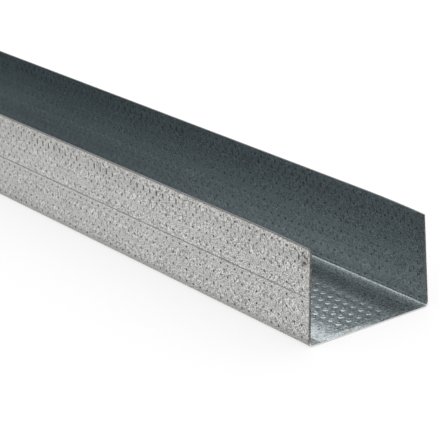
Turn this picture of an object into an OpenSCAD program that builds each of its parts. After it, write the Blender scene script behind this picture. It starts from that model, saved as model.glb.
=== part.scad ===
// U-shaped drywall track (floor and ceiling runner), roll-formed from one strip
// of thin galvanised sheet.
//
// The track lies along X on its web, with its open side up. The origin is at the
// middle of its length and width, on the level that it lies on.

/* [Stock] */
// Length that the track is cut to
track_l = 2600; // [500:10:4000]
// Thickness of the sheet
sheet_t = 0.6; // [0.5:0.05:1.2]

/* [Section] */
// Width over the two bends, the track's nominal size
track_w = 60; // [50:1:125]
// Height of the flanges over the web's underside
flange_h = 40; // [28:1:60]
// Inside radius of the bend between web and flange
bend_r = 1; // [0.6:0.1:2.5]
// Angle by which each flange leans in over the web, so that it grips the studs
flange_lean = 2.5; // [0:0.25:4]

/* [Web] */
// Width of the flat strip beside each bend that the track lies on
foot_w = 6.5; // [4.5:0.5:9]
// Width of the slope between the flat strip and the raised middle of the web
ramp_w = 9; // [3:0.5:12]
// Height that the middle of the web is raised by
web_rise = 0.7; // [0.2:0.05:1.2]

/* [Score line] */
// Height of the line that is rolled along the outside of each flange
score_z = 19.75; // [10:0.25:24]
// Depth of the score line
score_d = 0.12; // [0.05:0.01:0.2]
// Radius of the roller's rim that presses the score line
score_r = 0.5; // [0.3:0.05:1]

/* [Hidden] */
zinc = "silver";

// The section is drawn as one half, on the +Y side, and mirrored
outer_r = bend_r + sheet_t;
bend_at = [track_w / 2 - outer_r, outer_r];
// Length of the flange's straight part, to a free edge cut square to the sheet
flange_l = (flange_h - bend_at[1] - outer_r * sin(flange_lean)) / cos(flange_lean);

// Frame of the flange: its origin is the centre of the bend, and it leans in
module on_flange() {
    translate(bend_at) rotate(flange_lean) children();
}

// Web from its middle to the bend: raised middle, slope and flat strip
module half_web() {
    ramp_y = track_w / 2 - foot_w;
    under = [[0, web_rise], [ramp_y - ramp_w, web_rise], [ramp_y, 0], [bend_at[0], 0]];
    polygon(concat(under, [for (i = [3 : -1 : 0]) under[i] + [0, sheet_t]]));
}

// Part of a ring, from the flat strip to the foot of the leaning flange
module bend() {
    reach = 2 * outer_r;
    intersection() {
        translate(bend_at) difference() {
            circle(r = outer_r, $fn = 72);
            circle(r = bend_r, $fn = 72);
        }
        translate(bend_at + [0, -reach]) square([reach, 2 * reach]);
        on_flange() translate([-reach, -reach]) square([2 * reach, reach]);
    }
}

// The score line is pressed by the rim of a roller that stands square to the flange
module flange() {
    score_up = (score_z - bend_at[1] - outer_r * sin(flange_lean)) / cos(flange_lean);
    on_flange() difference() {
        translate([bend_r, 0]) square([sheet_t, flange_l]);
        translate([outer_r + score_r - score_d, score_up]) circle(r = score_r, $fn = 36);
    }
}

module half_section() {
    half_web();
    bend();
    flange();
}

module section() {
    half_section();
    mirror([1, 0]) half_section();
}

// The strip's ends are sheared square
module track_profile() {
    color(zinc) rotate([90, 0, 90]) linear_extrude(track_l, center = true) section();
}

track_profile();
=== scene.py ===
"""U-shaped drywall track of dimpled galvanised sheet, 2.6 m long, lying on its web.

The track is made as it is in the mill: a flat strip is dimpled and scored, and then
rolled up into the U section. The dimples are modelled finely at the end that the camera
sees close by, and a lighter mesh of the same pattern runs along the rest.
"""
import math
from functools import reduce

import bmesh
import bpy
from mathutils import Matrix, Vector


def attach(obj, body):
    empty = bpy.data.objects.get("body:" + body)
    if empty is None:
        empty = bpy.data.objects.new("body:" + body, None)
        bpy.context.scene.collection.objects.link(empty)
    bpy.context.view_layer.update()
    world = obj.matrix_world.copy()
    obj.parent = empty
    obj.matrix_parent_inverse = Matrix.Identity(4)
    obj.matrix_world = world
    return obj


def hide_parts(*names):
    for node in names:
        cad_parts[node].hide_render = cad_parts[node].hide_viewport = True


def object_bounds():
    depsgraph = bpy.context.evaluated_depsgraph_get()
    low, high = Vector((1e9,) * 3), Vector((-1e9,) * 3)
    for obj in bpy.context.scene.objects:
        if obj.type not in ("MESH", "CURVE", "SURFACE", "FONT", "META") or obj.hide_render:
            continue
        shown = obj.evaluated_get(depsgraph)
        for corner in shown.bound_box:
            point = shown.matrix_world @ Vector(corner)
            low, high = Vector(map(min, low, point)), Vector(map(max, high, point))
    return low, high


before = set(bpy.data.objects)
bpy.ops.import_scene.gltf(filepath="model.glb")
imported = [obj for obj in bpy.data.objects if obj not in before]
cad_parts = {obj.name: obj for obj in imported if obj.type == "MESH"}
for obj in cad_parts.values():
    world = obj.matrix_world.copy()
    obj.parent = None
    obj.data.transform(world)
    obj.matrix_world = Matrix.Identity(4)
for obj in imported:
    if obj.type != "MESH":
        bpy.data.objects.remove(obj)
cad_low, cad_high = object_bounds()
MM = 0.001

# ---------------------------------------------------------------- rolled section
HALF_WIDTH = cad_high.y
HEIGHT = cad_high.z
END = cad_high.x
LENGTH = cad_high.x - cad_low.x
SHEET = 0.6 * MM
BEND_R = 1.0 * MM
LEAN = math.radians(2.5)
FOOT_W = 6.0 * MM                 # flat strip beside each bend
RAMP_W = 9.5 * MM                 # slope up to the raised panel in the middle of the web
WEB_RISE = 0.7 * MM
SCORE_Z = 19.75 * MM
SCORE_DEPTH = 0.12 * MM
SCORE_HALF = 0.28 * MM            # half the width of the score line
OUTER_R = BEND_R + SHEET
BEND_ANGLE = math.pi / 2 + LEAN
PANEL_HALF = HALF_WIDTH - FOOT_W - RAMP_W
FOOT_AT = HALF_WIDTH - FOOT_W     # where the slope has run out
BEND_AT = HALF_WIDTH - OUTER_R    # where the web ends and the bend starts
FLANGE_AT = BEND_AT + OUTER_R * BEND_ANGLE
FLANGE_FOOT_Z = OUTER_R * (1 + math.sin(LEAN))
FLANGE_L = (HEIGHT - FLANGE_FOOT_Z) / math.cos(LEAN)
STRIP_EDGE = FLANGE_AT + FLANGE_L
BEND_STEPS = 8                    # flats that each bend is made of

# ---------------------------------------------------------------- dimple pattern
PITCH = 4.65 * MM                 # between columns of pits, along the track
WEB_PITCH = 5.1 * MM              # between rows of pits
FLANGE_PITCH = 4.95 * MM
REACH = 2.5 * MM                  # radius at which a dimple has run out
END_MARGIN = 2.3 * MM             # from the cut end to the first column of bumps
WEB_ROWS = 5                      # rows of pits on each half of the web
FLANGE_ROWS = 8                   # rows of pits on each flange
FLANGE_ROW_AT = 1.2 * MM          # from the bend to the flange's first row
SCORED_ROW = 3                    # the bumps above this row are rolled flat by the score line
FINE_COLUMNS = 33                 # columns of dimples of each finely modelled piece
FINE_PIECES = 3
LIGHT_PIECES = 2                  # pieces of lighter mesh, for the rest of the track
# A pit has round rings of a radius and a depth, inside a bed that fills a share of its cell
PIT_BED = (0.5, 0.01 * MM)
PIT_RINGS = [(0.5 * MM, 0.05 * MM), (0.22 * MM, 0.17 * MM)]
# A dish is a shallow pyramid with a flat bottom: its rings are shares of its cell, with a depth
DISH_RINGS = [(0.72, 0.01 * MM), (0.32, 0.21 * MM)]
OUTER_SHARE = 0.45                # depth on the outer face, against the inner
RAMP_SHARE = 0.1                  # depth on the web beside its panel, where rolls flatten it
FLANGE_SHARE = 0.2                # depth on the flanges
LIGHT_DEPTH = 0.12 * MM           # depth of a dimple of the lighter mesh
CREASE = 0.25 * MM                # between the two lines that hold the fold at the foot
EDGE_STRIP = 0.6 * MM             # darker strip along the cut edges

# ---------------------------------------------------------------- bent from the plain section
DROOP_L = 1.7 * MM                # the shear pressed the web's panel down, this near to the cut
FALL = 0.9 * MM                   # the flanges' free edges fall by so much,
FALL_L = 36.0 * MM                # over this length at each end
CORNER_FALL = 1.5 * MM            # the near flange's corner is knocked off by so much,
CORNER_L = 2.0 * MM               # over this length,
CORNER_POWER = 8                  # and much less lower down on the flange
NEAR_LIFT = 0.22 * MM             # how far the near bend stands off the floor
FAR_LIFT = 0.05 * MM
NEAR_CURVE = 1.6                  # the near slope to the panel steepens towards its foot
FAR_CURVE = 1.0                   # the far one is straight


def end_distance(x):
    """How far a place lies from the nearer end of the track."""
    return END - abs(x)


def edge_fall(x):
    """How much lower a flange's free edge lies towards a cut end."""
    return FALL * max(1 - end_distance(x) / FALL_L, 0)**2


def fold(point):
    """Rolls up a point of the flat strip: x stays, y is the way round the outer face
    from the middle of the web, and z is the height over that face, to the inside."""
    way = abs(point.y)
    near = point.y < 0
    foot_lift = NEAR_LIFT if near else FAR_LIFT
    if way <= BEND_AT:
        down = min(max(1 - (FOOT_AT - way) / RAMP_W, 0), 1)**(NEAR_CURVE if near else FAR_CURVE)
        droop = max(1 - end_distance(point.x) / DROOP_L, 0)
        lift = foot_lift * max((way - FOOT_AT) / (BEND_AT - FOOT_AT), 0)
        y = way
        z = WEB_RISE * (1 - droop) * (1 - down) + lift + point.z
    else:
        angle = min((way - BEND_AT) / OUTER_R, BEND_ANGLE)
        up = max(way - FLANGE_AT, 0)
        up -= (foot_lift + edge_fall(point.x)) * up / FLANGE_L
        if near:
            knock = CORNER_FALL * max(1 - end_distance(point.x) / CORNER_L, 0)**2
            up -= knock * (up / FLANGE_L)**CORNER_POWER
        y = BEND_AT + (OUTER_R - point.z) * math.sin(angle) - up * math.sin(LEAN)
        z = foot_lift + OUTER_R - (OUTER_R - point.z) * math.cos(angle) + up * math.cos(LEAN)
    return Vector((point.x, math.copysign(y, point.y), z))


# ---------------------------------------------------------------- lines of the flat strip
def strip_rows():
    """Lines along the strip, from edge to edge, each with what is pressed on it."""
    score_at = FLANGE_AT + (SCORE_Z - FLANGE_FOOT_Z) / math.cos(LEAN)
    rows = [(WEB_PITCH * i, "dish") for i in range(WEB_ROWS)]
    rows += [(WEB_PITCH * (i + 0.5), "pit") for i in range(WEB_ROWS)]
    rows += [(FOOT_AT, "plain"), (FOOT_AT + CREASE, "plain")]
    bend_step = OUTER_R * BEND_ANGLE / BEND_STEPS
    rows += [(BEND_AT + bend_step * i, "plain") for i in range(BEND_STEPS + 1)]
    for i in range(FLANGE_ROWS):
        pit_at = FLANGE_AT + FLANGE_ROW_AT + FLANGE_PITCH * i
        rows.append((pit_at, "pit"))
        if i == SCORED_ROW:
            rows += [(score_at - SCORE_HALF, "plain"), (score_at, "score")]
            rows.append((score_at + SCORE_HALF, "plain"))
        elif i < FLANGE_ROWS - 1:
            rows.append((pit_at + FLANGE_PITCH / 2, "dish"))
    rows += [(STRIP_EDGE - EDGE_STRIP, "plain"), (STRIP_EDGE, "edge")]
    rows.sort()
    return [(-way, kind) for way, kind in reversed(rows[1:])] + rows


ROWS = strip_rows()


def strip_columns(start, count):
    """Lines across the strip, from start towards -x, for a number of columns of pits.
    The first and last line are plain, so that the pieces meet on flat sheet."""
    columns = [(start, "plain")]
    for i in range(count):
        columns.append((start - PITCH * (i + 0.5), "pit"))
        columns.append((start - PITCH * (i + 1), "dish" if i < count - 1 else "plain"))
    return columns


# ---------------------------------------------------------------- dimpled skins
OUTSIDE, INSIDE, CUT_EDGE = range(3)    # as in SHEET_MATERIALS


def split_round(site):
    """Cuts the corners off the quads round a dimple, which leaves it in a diamond."""
    for quad in list(site.link_faces):
        if len(quad.verts) == 4:
            sides = list(quad.edges)
            beside = [e.other_vert(site) for e in site.link_edges if e in sides]
            bmesh.utils.face_split(quad, *beside)


def rolled(way):
    """How much of a dimple's depth the forming rolls leave."""
    if abs(way) < PANEL_HALF:
        return 1
    return RAMP_SHARE if abs(way) < BEND_AT else FLANGE_SHARE


def inset_ring(bm, cells, places, depth, move):
    """Insets each cell, and draws the new ring in to where move puts it."""
    pressed = bm.verts.layers.float["pressed"]
    inwards = math.copysign(1, depth)
    bmesh.ops.inset_individual(bm, faces=cells, thickness=0.01 * MM)
    for cell, place in zip(cells, places):
        for v in cell.verts:
            out = move(v.co.xy - place)
            v.co = (place.x + out.x, place.y + out.y, depth * rolled(place.y))
            v[pressed] = inwards * (1 - out.length / REACH)


def press_fine(bm, found, share):
    """Makes each diamond one cell, and insets it for the rings of its dimple."""
    places = {kind: [site.co.xy for site in sites] for kind, sites in found.items()}
    cells = {kind: [bmesh.utils.face_join(list(site.link_faces)) for site in sites]
             for kind, sites in found.items()}
    sides = {e for kind in cells for cell in cells[kind] for e in cell.edges}
    bmesh.ops.bisect_edges(bm, edges=list(sides), cuts=1)
    bed, bed_depth = PIT_BED
    inset_ring(bm, cells["pit"], places["pit"], bed_depth * share, lambda out: out * bed)
    for radius, depth in PIT_RINGS:
        inset_ring(bm, cells["pit"], places["pit"], depth * share,
                   lambda out: out.normalized() * radius)
    for cell in cells["dish"]:
        cell.smooth = False
    for part, depth in DISH_RINGS:
        inset_ring(bm, cells["dish"], places["dish"], -depth * share, lambda out: out * part)


def flat_skin(bm, columns, outer, fine):
    """One face of the flat sheet, with its dimples."""
    pressed = bm.verts.layers.float["pressed"]
    edge = bm.verts.layers.float["edge"]
    spans = len(columns) - 1
    rises = len(ROWS) - 1
    verts = bmesh.ops.create_grid(bm, x_segments=spans, y_segments=rises, size=0.5)["verts"]
    for face in {face for v in verts for face in v.link_faces}:
        face.smooth = True
    found = {"pit": [], "dish": []}
    for v in verts:
        x, column = columns[round((0.5 - v.co.x) * spans)]
        way, row = ROWS[round((0.5 + v.co.y) * rises)]
        v.co = (x, way, SCORE_DEPTH if row == "score" and outer else 0)
        v[edge] = 1 if "edge" in (row, column) else 0
        if row == column and row in found:
            found[row].append(v)
    for kind, sites in found.items():
        inwards = 1 if kind == "pit" else -1
        for site in sites:
            split_round(site)
            if not fine:
                site.co.z = inwards * LIGHT_DEPTH * rolled(site.co.y)
                site[pressed] = inwards
    if fine:
        press_fine(bm, found, OUTER_SHARE if outer else 1)


def track_piece(name, columns, fine):
    """A closed length of the track: two dimpled skins, joined round their edges."""
    bm = bmesh.new()
    bm.verts.layers.float.new("pressed")
    bm.verts.layers.float.new("edge")
    flat_skin(bm, columns, True, fine)
    bmesh.ops.reverse_faces(bm, faces=list(bm.faces))
    bmesh.ops.translate(bm, verts=list(bm.verts), vec=(0, 0, -SHEET))
    outer_count = len(bm.faces)
    flat_skin(bm, columns, False, fine)
    bmesh.ops.translate(bm, verts=list(bm.verts), vec=(0, 0, SHEET))
    bm.faces.ensure_lookup_table()
    for number, face in enumerate(bm.faces):
        face.material_index = OUTSIDE if number < outer_count else INSIDE
    rim = bmesh.ops.bridge_loops(bm, edges=[e for e in bm.edges if e.is_boundary])["faces"]
    for face in rim:
        face.material_index = CUT_EDGE
        for e in face.edges:
            e.smooth = False
    for v in bm.verts:
        v.co = fold(v.co)
    mesh = bpy.data.meshes.new(name)
    bm.to_mesh(mesh)
    bm.free()
    piece = bpy.data.objects.new(name, mesh)
    bpy.context.scene.collection.objects.link(piece)
    for material in SHEET_MATERIALS:
        mesh.materials.append(material)
    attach(piece, "root")
    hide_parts("track_profile")
    return piece


# ---------------------------------------------------------------- marks on the sheet
# How fine each noise is, in cells to the metre
GRAIN = 2900
RIPPLES = 900
PATCHES = 130
CLOUDS = 14
DASH_CLUMPS = 50
UNEVEN_MARKS = 170
DUST_SPECKS = 1100
DIRT_SPECKS = 380
SMUDGE_SPECKS = 620
EDGE_STREAKS = 900
DRAWN = (1, 1, 0.75)                          # grain and ripples are drawn out up the flanges
# Where each mark starts, and where it is full
CALM_X = (END - 40 * MM, END - 320 * MM)      # the grain calms down and darkens along the track, where painted shade also comes in
PIT_PRESSED = (0.72, 0.85)                    # painted shade at the bottom of a pit
DISH_PRESSED = (-0.5, -0.8)                   # painted shade on a dish,
DASH_OFF = (0.65 * MM, 0.15 * MM)             # narrowed to a dash in the middle of its column
LONG_DASH_Z = (29 * MM, 33 * MM)              # dashes get longer up the flange,
DARK_DASH_Z = (28 * MM, 32 * MM)              # and darker
EDGE_DARKENING_SHARE = (0.0, 0.5)                        # share of the way to the cut edge
SCORE_LINE_OFF = (0.3 * MM, 0.12 * MM)        # from the middle of the score line
# painted shade at the foot of the outer face, by the floor, and a plain darkening towards the top
# edge
OUTER_FOOT_SHADE_Z = (5.5 * MM, 1.5 * MM)
TOP_DARKENING_Z = (29 * MM, 34 * MM)
SMUDGE_AT = (END - 3.6 * MM, -HALF_WIDTH + 1.5 * MM, 34.2 * MM)
SMUDGE_OFF = (3.0 * MM, 1.0 * MM)
DUST_Z = (3 * MM, 2 * MM)                     # dust lies on the web
DIRT_X = (END - 12 * MM, END - 2 * MM)
INNER_SHADE_TOP_Z = (16 * MM, 10 * MM)              # the painted shade fades out up the flange,
INNER_SHADE_FOOT_Z = (2 * MM, 4 * MM)               # at its foot,
INNER_SHADE_X = (END - 40 * MM, END - 280 * MM)     # and towards the cut end
SHEARED_X = (END - 1.0 * MM, END - 0.2 * MM)
EDGE_LIGHT_FADE_Z = (1.0 * MM, 3.0 * MM)            # the web's own cut edge is painted bright, as painted light
# Colours
FAR_SHADE = (0, 0.06, 0.07, 1)
SCORE_SHADE = (0.14, 0.13, 0.11, 1)
# colour of the painted shade at the foot and of the darkening towards the top
FOOT_SHADE_AND_TOP_DARKENING = (0.1, 0.085, 0.06, 1)
SMUDGE = (0.085, 0.065, 0.045, 1)
DUST = (0.62, 0.68, 0.7, 1)
DIRT = (0.13, 0.11, 0.09, 1)
# colour of the painted shade along the inner foot of the flanges
INNER_FOOT_SHADE = (0.04, 0.05, 0.055, 1)
SLIT_STREAKS = (0.11, 0.113, 0.11, 1), (0.225, 0.23, 0.222, 1)
SHEARED_STREAKS = (0.07, 0.065, 0.055, 1), (0.22, 0.21, 0.185, 1)
# colour of the painted light on the web's cut edge
EDGE_PAINTED_LIGHT = (0.7, 0.7, 0.69, 1)


# ---------------------------------------------------------------- shader nodes
def feed(tree, socket, value):
    """Links another node's output to a socket, or sets the socket to a plain value."""
    if isinstance(value, bpy.types.NodeSocket):
        tree.links.new(value, socket)
    else:
        socket.default_value = value


def add_node(tree, kind, **inputs):
    """Adds a node, and feeds its inputs, whose names have _ for a space."""
    node = tree.nodes.new(kind)
    for name, value in inputs.items():
        feed(tree, node.inputs[name.replace("_", " ")], value)
    return node


def math_node(tree, operation, *values):
    node = tree.nodes.new("ShaderNodeMath")
    node.operation = operation
    for number, value in enumerate(values):
        feed(tree, node.inputs[number], value)
    return node.outputs[0]


def product(tree, *factors):
    return reduce(lambda a, b: math_node(tree, "MULTIPLY", a, b), factors)


def total(tree, *terms):
    return reduce(lambda a, b: math_node(tree, "ADD", a, b), terms)


def ramp_node(tree, value, low, high, to_low=0.0, to_high=1.0):
    """A value's way from low to high, with soft ends, brought to another range."""
    node = add_node(tree, "ShaderNodeMapRange", Value=value, From_Min=low, From_Max=high,
                    To_Min=to_low, To_Max=to_high)
    node.interpolation_type = "SMOOTHSTEP"
    return node.outputs["Result"]


def mix_node(tree, factor, a, b):
    """A blend of two colours. A mix node lists sockets for plain numbers and vectors first."""
    node = tree.nodes.new("ShaderNodeMix")
    node.data_type = "RGBA"
    feed(tree, node.inputs[0], factor)
    feed(tree, node.inputs[6], a)
    feed(tree, node.inputs[7], b)
    return node.outputs[2]


def noise_node(tree, where, scale, detail, roughness=0.5):
    """Smooth noise, most of which lies between 0.3 and 0.7."""
    node = add_node(tree, "ShaderNodeTexNoise", Vector=where, Scale=scale, Detail=detail,
                    Roughness=roughness)
    return node.outputs["Fac"]


def attribute_node(tree, name):
    """A value that the mesh carries in each vertex."""
    node = tree.nodes.new("ShaderNodeAttribute")
    node.attribute_name = name
    return node.outputs["Fac"]


def place_nodes(tree):
    """The place on the track, and the same split into X, Y and Z."""
    where = tree.nodes.new("ShaderNodeTexCoord").outputs["Object"]
    return where, add_node(tree, "ShaderNodeSeparateXYZ", Vector=where).outputs


# ---------------------------------------------------------------- zinc, for both faces
def zinc_color(group, given, grain, patches, clouds, far):
    """Bright zinc with a dull grain, which is calmer and darker further along the track; there it
    also gets painted shade, by the given strength.
    """
    calm = math_node(group, "MULTIPLY_ADD", far, -0.3, 0.95)
    dull = total(group,
                 product(group, ramp_node(group, grain, 0.41, 0.59), calm),
                 product(group, far, 0.17),
                 ramp_node(group, patches, 0.35, 0.7, 0, 0.03),
                 ramp_node(group, clouds, 0.35, 0.7, 0, 0.03))
    color = mix_node(group, dull, given["Bright"], given["Dull"])
    # Painted shade further from the open cut end, deeper into the channel
    return mix_node(group, product(group, far, given["Far Dulling"]), color, FAR_SHADE)


def pressed_marks(group, given, where, place):
    """Painted shade in the pits, and dashes of painted shade on the dishes, uneven from one to the
    next.
    """
    pressed = attribute_node(group, "pressed")
    pit = product(group, ramp_node(group, pressed, *PIT_PRESSED), given["Pit Strength"])
    along = math_node(group, "SUBTRACT", END - END_MARGIN, place["X"])
    off_column = math_node(group, "PINGPONG", along, PITCH / 2)
    longer = ramp_node(group, place["Z"], *LONG_DASH_Z, 0.0, 0.15)
    dish = ramp_node(group, math_node(group, "SUBTRACT", pressed, longer), *DISH_PRESSED)
    clump = ramp_node(group, noise_node(group, where, DASH_CLUMPS, 0.0), 0.4, 0.58, 0.5, 1.0)
    darker = product(group, ramp_node(group, place["Z"], *DARK_DASH_Z, 0, 1.2), clump)
    dish = product(group, dish, ramp_node(group, off_column, *DASH_OFF), given["Dish Strength"],
                   math_node(group, "MAXIMUM", darker, 0.5))
    uneven = ramp_node(group, noise_node(group, where, UNEVEN_MARKS, 1.0), 0.3, 0.6, 0.45, 1.0)
    return product(group, total(group, pit, dish), uneven)


def zinc_group():
    """Colour, roughness and relief of dimpled zinc, for both faces of the sheet; the colour holds
    painted shade in the dimples and further along the track.
    """
    group = bpy.data.node_groups.new("dimpled_zinc", "ShaderNodeTree")
    for name in ("Bright", "Dull", "Pit"):
        group.interface.new_socket(name, in_out="INPUT", socket_type="NodeSocketColor")
    for name in ("Pit Strength", "Dish Strength", "Edge Strength", "Far Dulling", "Gloss"):
        group.interface.new_socket(name, in_out="INPUT", socket_type="NodeSocketFloat")
    group.interface.new_socket("Color", in_out="OUTPUT", socket_type="NodeSocketColor")
    group.interface.new_socket("Roughness", in_out="OUTPUT", socket_type="NodeSocketFloat")
    group.interface.new_socket("Height", in_out="OUTPUT", socket_type="NodeSocketFloat")
    given = group.nodes.new("NodeGroupInput").outputs
    where, place = place_nodes(group)
    drawn = add_node(group, "ShaderNodeMapping", Vector=where, Scale=DRAWN).outputs["Vector"]
    grain = noise_node(group, drawn, GRAIN, 0.0)
    ripples = noise_node(group, drawn, RIPPLES, 1.0)
    patches = noise_node(group, where, PATCHES, 3.0)
    clouds = noise_node(group, where, CLOUDS, 2.0)
    far = ramp_node(group, place["X"], *CALM_X)
    color = zinc_color(group, given, grain, patches, clouds, far)
    # Painted shade in the pits and on the dishes
    color = mix_node(group, pressed_marks(group, given, where, place), color, given["Pit"])
    # A darker strip along the cut edges of the sheet
    edge_darkening = ramp_node(group, attribute_node(group, "edge"), *EDGE_DARKENING_SHARE)
    color = mix_node(group, product(group, edge_darkening, given["Edge Strength"]), color, given["Pit"])
    rough = total(group, given["Gloss"], ramp_node(group, patches, 0.3, 0.7, -0.03, 0.05))
    out = group.nodes.new("NodeGroupOutput")
    feed(group, out.inputs["Color"], color)
    feed(group, out.inputs["Roughness"], rough)
    feed(group, out.inputs["Height"], ripples)
    return group


# ---------------------------------------------------------------- materials
def new_material(name):
    material = bpy.data.materials.new(name)
    material.use_nodes = True
    tree = material.node_tree
    return material, tree, tree.nodes["Principled BSDF"]


def zinc_material(name, group, relief, metallic, **values):
    """A material of the zinc group, with its values, whose names have _ for a space."""
    material, tree, shader = new_material(name)
    zinc = tree.nodes.new("ShaderNodeGroup")
    zinc.node_tree = group
    for key, value in values.items():
        zinc.inputs[key.replace("_", " ")].default_value = value
    bump = add_node(tree, "ShaderNodeBump", Strength=relief, Distance=0.05 * MM,
                    Height=zinc.outputs["Height"])
    shader.inputs["Metallic"].default_value = metallic
    tree.links.new(zinc.outputs["Roughness"], shader.inputs["Roughness"])
    tree.links.new(bump.outputs["Normal"], shader.inputs["Normal"])
    return material, tree, shader, zinc


def outside_material(group):
    """The outer face: warm grey zinc, with painted shade in the score line and at the foot, a
    darker strip towards the top edge, and a smudge.
    """
    material, tree, shader, zinc = zinc_material(
        "zinc_outside", group, relief=0.3, metallic=1.0,
        Bright=(0.76, 0.76, 0.748, 1), Dull=(0.235, 0.235, 0.227, 1), Pit=(0.04, 0.04, 0.038, 1),
        Pit_Strength=1.0, Dish_Strength=1.0, Edge_Strength=0.7, Far_Dulling=0.0, Gloss=0.4)
    where, place = place_nodes(tree)
    off_line = math_node(tree, "ABSOLUTE", math_node(tree, "SUBTRACT", place["Z"], SCORE_Z))
    line = ramp_node(tree, off_line, *SCORE_LINE_OFF, 0.0, 0.8)
    color = mix_node(tree, line, zinc.outputs["Color"], SCORE_SHADE)
    # Painted shade at the foot of the flange, by the floor, and a plain darkening towards the top
    # edge
    foot_shade_and_top_darkening = total(tree, ramp_node(tree, place["Z"], *OUTER_FOOT_SHADE_Z, 0.0, 0.28),
                  ramp_node(tree, place["Z"], *TOP_DARKENING_Z, 0.0, 0.08))
    color = mix_node(tree, foot_shade_and_top_darkening, color, FOOT_SHADE_AND_TOP_DARKENING)
    off_smudge = tree.nodes.new("ShaderNodeVectorMath")
    off_smudge.operation = "DISTANCE"
    off_smudge.inputs[1].default_value = SMUDGE_AT
    tree.links.new(where, off_smudge.inputs[0])
    specks = ramp_node(tree, noise_node(tree, where, SMUDGE_SPECKS, 1.0), 0.42, 0.52, 0.1, 1)
    smudge = product(tree, ramp_node(tree, off_smudge.outputs["Value"], *SMUDGE_OFF), specks)
    color = mix_node(tree, smudge, color, SMUDGE)
    feed(tree, shader.inputs["Base Color"], color)
    return material


def inside_material(group):
    """The inner face: darker, bluish zinc, whose darker tone is partly painted shade, with dust on
    the web, dirt at the cut end and painted shade along the foot of the flange."""
    material, tree, shader, zinc = zinc_material(
        "zinc_inside", group, relief=0.32, metallic=0.92,
        # darker than the outer face's zinc: partly the sheet's own tone and partly painted shade
        # inside the channel
        Bright=(0.468, 0.52, 0.537, 1), Dull=(0.172, 0.192, 0.199, 1), Pit=(0.03, 0.034, 0.036, 1),
        Pit_Strength=0.85, Dish_Strength=0.75, Edge_Strength=0.0, Far_Dulling=0.25, Gloss=0.2)
    where, place = place_nodes(tree)
    specks = ramp_node(tree, noise_node(tree, where, DUST_SPECKS, 1.0), 0.42, 0.58, 0.08, 0.57)
    dust = product(tree, ramp_node(tree, place["Z"], *DUST_Z), specks)
    color = mix_node(tree, dust, zinc.outputs["Color"], DUST)
    specks = ramp_node(tree, noise_node(tree, where, DIRT_SPECKS, 2.0, 0.6), 0.48, 0.64, 0, 0.35)
    dirt = product(tree, ramp_node(tree, place["X"], *DIRT_X), specks)
    color = mix_node(tree, dirt, color, DIRT)
    # Painted shade along the foot of the flange, in its corner with the web, stronger further from
    # the cut end
    inner_foot_shade = product(tree, ramp_node(tree, place["Z"], *INNER_SHADE_TOP_Z),
                    ramp_node(tree, place["Z"], *INNER_SHADE_FOOT_Z),
                    ramp_node(tree, place["X"], *INNER_SHADE_X, 0.1, 0.45))
    color = mix_node(tree, inner_foot_shade, color, INNER_FOOT_SHADE)
    feed(tree, shader.inputs["Base Color"], color)
    rough = total(tree, zinc.outputs["Roughness"], product(tree, dust, 0.14))
    feed(tree, shader.inputs["Roughness"], rough)
    return material


def cut_edge_material():
    """Bare steel where the sheet was slit and sheared: dark, partly its own tone and partly
    painted shade, with painted light along the web.
    """
    material, tree, shader = new_material("cut_edge")
    where, place = place_nodes(tree)
    streak = ramp_node(tree, noise_node(tree, where, EDGE_STREAKS, 2.0), 0.3, 0.7)
    slit = mix_node(tree, streak, *SLIT_STREAKS)
    sheared = mix_node(tree, streak, *SHEARED_STREAKS)
    color = mix_node(tree, ramp_node(tree, place["X"], *SHEARED_X), slit, sheared)
    # Painted light: the web's cut edge, near the floor, is made bright
    color = mix_node(tree, ramp_node(tree, place["Z"], *EDGE_LIGHT_FADE_Z), EDGE_PAINTED_LIGHT, color)
    feed(tree, shader.inputs["Base Color"], color)
    shader.inputs["Metallic"].default_value = 1.0
    shader.inputs["Roughness"].default_value = 0.45
    return material


dimpled_zinc = zinc_group()
SHEET_MATERIALS = [
    outside_material(dimpled_zinc),
    inside_material(dimpled_zinc),
    cut_edge_material(),
]

# ---------------------------------------------------------------- track
all_columns = int((LENGTH - END_MARGIN) / PITCH)
next_x = END - END_MARGIN
for number in range(FINE_PIECES):
    columns = strip_columns(next_x, FINE_COLUMNS)
    if number == 0:
        columns = [(END, "edge"), (END - DROOP_L / 2, "plain"), (END - DROOP_L, "plain")] + columns
    track_piece(f"track_fine_{number + 1}", columns, True)
    next_x -= PITCH * FINE_COLUMNS
left = all_columns - FINE_COLUMNS * FINE_PIECES
for number in range(LIGHT_PIECES):
    count = left // LIGHT_PIECES + (left % LIGHT_PIECES if number == 0 else 0)
    columns = strip_columns(next_x, count)
    if number == LIGHT_PIECES - 1:
        columns += [(EDGE_STRIP - END, "plain"), (-END, "edge")]
    track_piece(f"track_light_{number + 1}", columns, False)
    next_x -= PITCH * count


# ---------------------------------------------------------------- studio
FLOOR_HALF = 60                   # metres
FLOOR_COLOR = (0.3, 0.3, 0.3, 1)
FLOOR_GLOW = 0.7                  # with the light on the floor, this makes white
LAMP_WAY = (-0.55, 0.6, 0.62)     # from the near end to the lamp
LAMP_DISTANCE = 3.0               # metres
LAMP_SIZE = (3.4, 3.0)            # metres
LAMP_RADIANCE = 0.48
CAMERA_AT = (END + 509.3 * MM, -HALF_WIDTH - 406.8 * MM, 296.46 * MM)
CAMERA_TURN = 54.185              # degrees, round to the left from looking along +Y
CAMERA_DIP = 20.496               # degrees, down from level
CAMERA_ROLL = -2.263
CAMERA_LENS = 155.8


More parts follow.
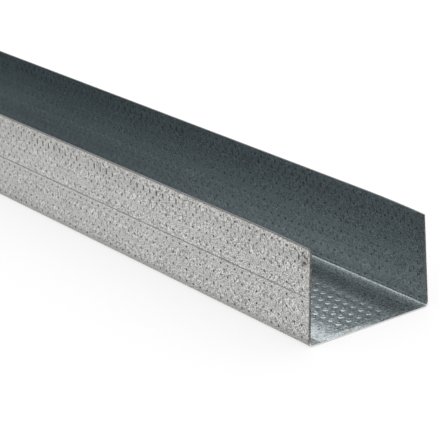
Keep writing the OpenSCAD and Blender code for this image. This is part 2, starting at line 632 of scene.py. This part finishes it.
def floor_material():
    """A pale matt floor that shows shadows, and is white to the eye and in the zinc."""
    material, tree, shader = new_material("studio_floor")
    shader.inputs["Base Color"].default_value = FLOOR_COLOR
    shader.inputs["Roughness"].default_value = 1.0
    shader.inputs["Specular IOR Level"].default_value = 0.0
    path = tree.nodes.new("ShaderNodeLightPath").outputs
    seen = math_node(tree, "MAXIMUM", path["Is Camera Ray"], path["Is Glossy Ray"])
    seen = math_node(tree, "MAXIMUM", seen, path["Is Transmission Ray"])
    shader.inputs["Emission Color"].default_value = (1, 1, 1, 1)
    feed(tree, shader.inputs["Emission Strength"], product(tree, seen, FLOOR_GLOW))
    return material


def studio_floor():
    """A wide floor under the track."""
    bm = bmesh.new()
    bmesh.ops.create_grid(bm, x_segments=1, y_segments=1, size=FLOOR_HALF)
    mesh = bpy.data.meshes.new("studio_floor")
    bm.to_mesh(mesh)
    bm.free()
    floor = bpy.data.objects.new("studio_floor", mesh)
    bpy.context.scene.collection.objects.link(floor)
    mesh.materials.append(floor_material())


def studio_world():
    """Even white light from all round."""
    world = bpy.data.worlds.new("studio")
    world.use_nodes = True
    sky = world.node_tree.nodes["Background"]
    sky.inputs["Color"].default_value = (1, 1, 1, 1)
    sky.inputs["Strength"].default_value = 1.0
    bpy.context.scene.world = world


def studio_lamp():
    """A soft lamp behind the far flange, which brightens the slopes and dimples that face it."""
    data = bpy.data.lights.new("softbox", "AREA")
    data.shape = "RECTANGLE"
    data.size = LAMP_SIZE[0]
    data.size_y = LAMP_SIZE[1]
    data.energy = math.pi * data.size * data.size_y * LAMP_RADIANCE
    lamp = bpy.data.objects.new("softbox", data)
    ray = Vector(LAMP_WAY).normalized()
    turn = ray.to_track_quat("Z", "Y").to_matrix().to_4x4()
    lamp.matrix_world = Matrix.Translation(Vector((END, 0, 0)) + ray * LAMP_DISTANCE) @ turn
    bpy.context.scene.collection.objects.link(lamp)


def studio_camera():
    """Looks along the track from beyond its near end, from a little above."""
    data = bpy.data.cameras.new("camera")
    data.sensor_width = 36
    data.lens = CAMERA_LENS
    data.clip_end = 200
    camera = bpy.data.objects.new("camera", data)
    turn = Matrix.Rotation(math.radians(CAMERA_TURN), 4, "Z")
    turn = turn @ Matrix.Rotation(math.radians(90 - CAMERA_DIP), 4, "X")
    turn = turn @ Matrix.Rotation(math.radians(CAMERA_ROLL), 4, "Z")
    camera.matrix_world = Matrix.Translation(CAMERA_AT) @ turn
    bpy.context.scene.collection.objects.link(camera)
    bpy.context.scene.camera = camera


studio_floor()
studio_world()
studio_lamp()
studio_camera()
bpy.context.scene.view_settings.view_transform = "Standard"
